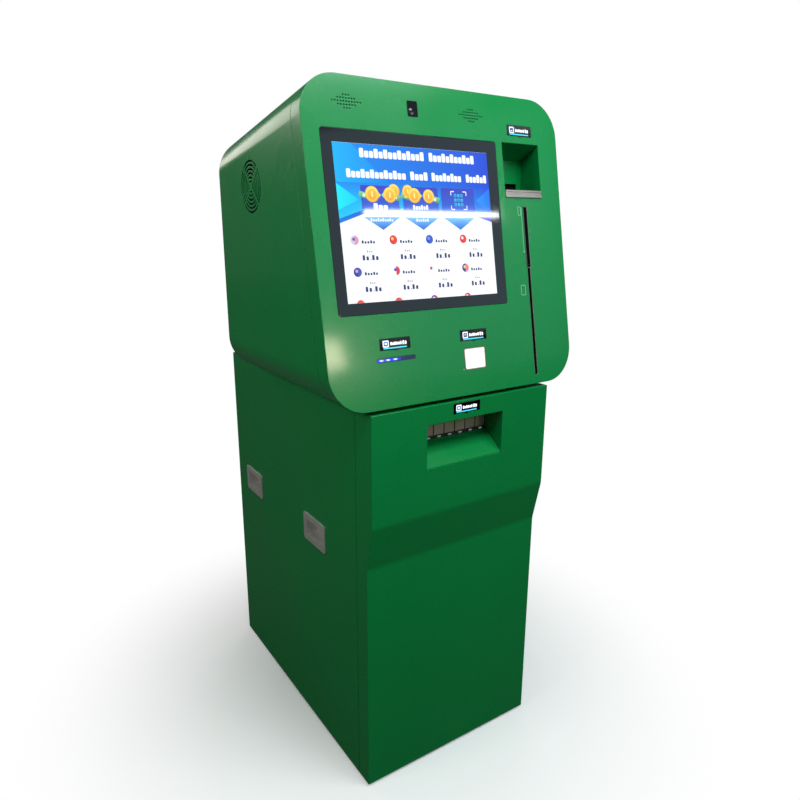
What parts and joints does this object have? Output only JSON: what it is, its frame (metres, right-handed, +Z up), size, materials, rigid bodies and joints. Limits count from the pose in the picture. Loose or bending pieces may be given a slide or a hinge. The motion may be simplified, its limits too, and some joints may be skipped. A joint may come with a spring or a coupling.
{
  "type": "atm machine",
  "caption": "Floor-standing currency exchange kiosk: leaning touch-screen head on a cabinet with a shuttered cash recess, hinged service doors and cassettes.",
  "frame": {"origin": "on the floor under the middle of the machine's bounding box", "axes": "+Z up, customer at -Y, +X to the customer's right"},
  "size_m": [0.652, 0.78, 1.5461],
  "materials": {
    "green_powder_coat": "glossy green powder coat with fine orange peel",
    "black_powder_coat": "satin black powder coat",
    "zinc_plate": "bright zinc-plated steel",
    "stainless_steel": "satin stainless steel",
    "black_glass": "polished glass printed black at the border",
    "equipment_case": "grey equipment case",
    "black_plastic": "fine-textured black plastic",
    "sign_lens": "dark lens with lit symbols behind it",
    "black_rubber": "matt rubber",
    "cassette_plastic": "dark grey moulded plastic",
    "paper": "thermal paper"
  },
  "bodies": {
    "cabinet": {"base_frame": "black_powder_coat", "levelling_feet": "zinc_plate", "base_plate": "zinc_plate", "left_side_panel": "green_powder_coat", "right_side_panel": "green_powder_coat", "cabinet_top_plate": "green_powder_coat", "front_frame": "black_powder_coat", "rear_frame": "green_powder_coat", "pull_handle_cups": "stainless_steel", "lower_hinge_arms": "zinc_plate", "side_door_locks": "stainless_steel", "rear_door_hinges": "zinc_plate", "dispenser_frame": "zinc_plate", "note_throat": "black_powder_coat", "transport_belts": "black_rubber", "power_supply": "equipment_case", "power_inlet": "black_plastic", "neck_frame": "black_powder_coat", "head_shell": "green_powder_coat", "head_front_frame": "black_powder_coat", "head_back_panel": "green_powder_coat", "back_panel_screws": "zinc_plate", "fan_frame": "black_plastic", "computer_case": "equipment_case", "head_hinge_arms": "zinc_plate"},
    "lower_door": {"lower_door_panel": "green_powder_coat", "lower_door_brackets": "zinc_plate", "dispenser_hood": "green_powder_coat", "shutter_guides": "zinc_plate", "shutter_seal": "black_rubber", "dispenser_sign": "sign_lens"},
    "shutter": {"dispenser_shutter": "stainless_steel"},
    "rear_door": {"rear_door_panel": "green_powder_coat", "rear_door_lock": "stainless_steel"},
    "rear_lock_cam": {"rear_lock_cam": "zinc_plate"},
    "lower_lock_cam": {"lower_lock_cam": "zinc_plate"},
    "head_lock_cam": {"head_lock_cam": "zinc_plate"},
    "head_door": {"head_door_panel": "green_powder_coat", "head_door_brackets": "zinc_plate", "touch_glass": "black_glass", "display_module": "equipment_case", "camera_module": "black_plastic", "speakers": "black_plastic", "id_scanner_pocket": "green_powder_coat", "id_scanner_lip": "stainless_steel", "id_scanner_unit": "equipment_case", "head_signs": "sign_lens", "swipe_reader": "black_plastic", "barcode_scanner": "black_plastic", "receipt_printer": "black_plastic"},
    "paper_roll": {"paper_roll": "paper"},
    "platen_roller": {"platen_roller": "black_rubber"},
    "fan_rotor": {"fan_rotor": "black_plastic"},
    "transport_drive": {"transport_drive_roller": "stainless_steel"},
    "transport_idler": {"transport_idler_roller": "stainless_steel"},
    "cassette_1": {"cassette_1": "cassette_plastic"},
    "cassette_2": {"cassette_2": "cassette_plastic"},
    "cassette_3": {"cassette_3": "cassette_plastic"},
    "cassette_4": {"cassette_4": "cassette_plastic"},
    "power_switch": {"power_switch": "black_plastic"}
  },
  "joints": [
    {"name": "lower_door_hinge", "type": "hinge", "parent": "cabinet", "child": "lower_door", "pos_m": [-0.234, -0.3415, 0.456], "axis": [0, 0, -1], "range_deg": [0, 90]},
    {"name": "shutter_slide", "type": "slide", "parent": "lower_door", "child": "shutter", "axis": [0, 0, 1], "range_m": [0, 0.03]},
    {"name": "head_door_hinge", "type": "hinge", "parent": "cabinet", "child": "head_door", "pos_m": [-0.318, -0.30697, 1.22695], "axis": [0, -0.1788, -0.9839], "range_deg": [0, 90]},
    {"name": "rear_door_hinge", "type": "hinge", "parent": "cabinet", "child": "rear_door", "pos_m": [0.207, 0.387, 0.466], "axis": [0, 0, -1], "range_deg": [0, 110]},
    {"name": "rear_lock_turn", "type": "hinge", "parent": "rear_door", "child": "rear_lock_cam", "pos_m": [-0.18, 0.357, 0.466], "axis": [0, -1, 0], "range_deg": [0, 90]},
    {"name": "lower_lock_turn", "type": "hinge", "parent": "cabinet", "child": "lower_lock_cam", "pos_m": [0.227, -0.29, 0.486], "axis": [1, 0, 0], "range_deg": [0, 90]},
    {"name": "head_lock_turn", "type": "hinge", "parent": "cabinet", "child": "head_lock_cam", "pos_m": [0.311, -0.26037, 1.19816], "axis": [1, 0, 0], "range_deg": [0, 90]},
    {"name": "paper_roll_spin", "type": "hinge", "parent": "head_door", "child": "paper_roll", "pos_m": [-0.1695, -0.28047, 0.97008], "axis": [1, 0, 0], "continuous": true},
    {"name": "platen_spin", "type": "hinge", "parent": "head_door", "child": "platen_roller", "pos_m": [-0.1695, -0.33325, 1.00406], "axis": [1, 0, 0], "continuous": true},
    {"name": "fan_spin", "type": "hinge", "parent": "cabinet", "child": "fan_rotor", "pos_m": [-0.313, -0.0327, 1.3484], "axis": [1, 0, 0], "continuous": true},
    {"name": "transport_drive_spin", "type": "hinge", "parent": "cabinet", "child": "transport_drive", "pos_m": [0, -0.278, 0.066], "axis": [1, 0, 0], "continuous": true},
    {"name": "transport_idler_spin", "type": "hinge", "parent": "cabinet", "child": "transport_idler", "pos_m": [0, -0.278, 0.786], "axis": [1, 0, 0], "continuous": true},
    {"name": "power_switch_rock", "type": "hinge", "parent": "cabinet", "child": "power_switch", "pos_m": [-0.135, 0.38, 0.06], "axis": [1, 0, 0], "range_deg": [0, 14]},
    {"name": "cassette_1_slide", "type": "slide", "parent": "cabinet", "child": "cassette_1", "axis": [0, 1, 0], "range_m": [0, 0.19]},
    {"name": "cassette_2_slide", "type": "slide", "parent": "cabinet", "child": "cassette_2", "axis": [0, 1, 0], "range_m": [0, 0.19]},
    {"name": "cassette_3_slide", "type": "slide", "parent": "cabinet", "child": "cassette_3", "axis": [0, 1, 0], "range_m": [0, 0.19]},
    {"name": "cassette_4_slide", "type": "slide", "parent": "cabinet", "child": "cassette_4", "axis": [0, 1, 0], "range_m": [0, 0.19]}
  ],
  "couplings": [
    {"joint": "platen_spin", "follows": "paper_roll_spin", "ratio": 4.1667},
    {"joint": "transport_idler_spin", "follows": "transport_drive_spin", "ratio": 1}
  ]
}
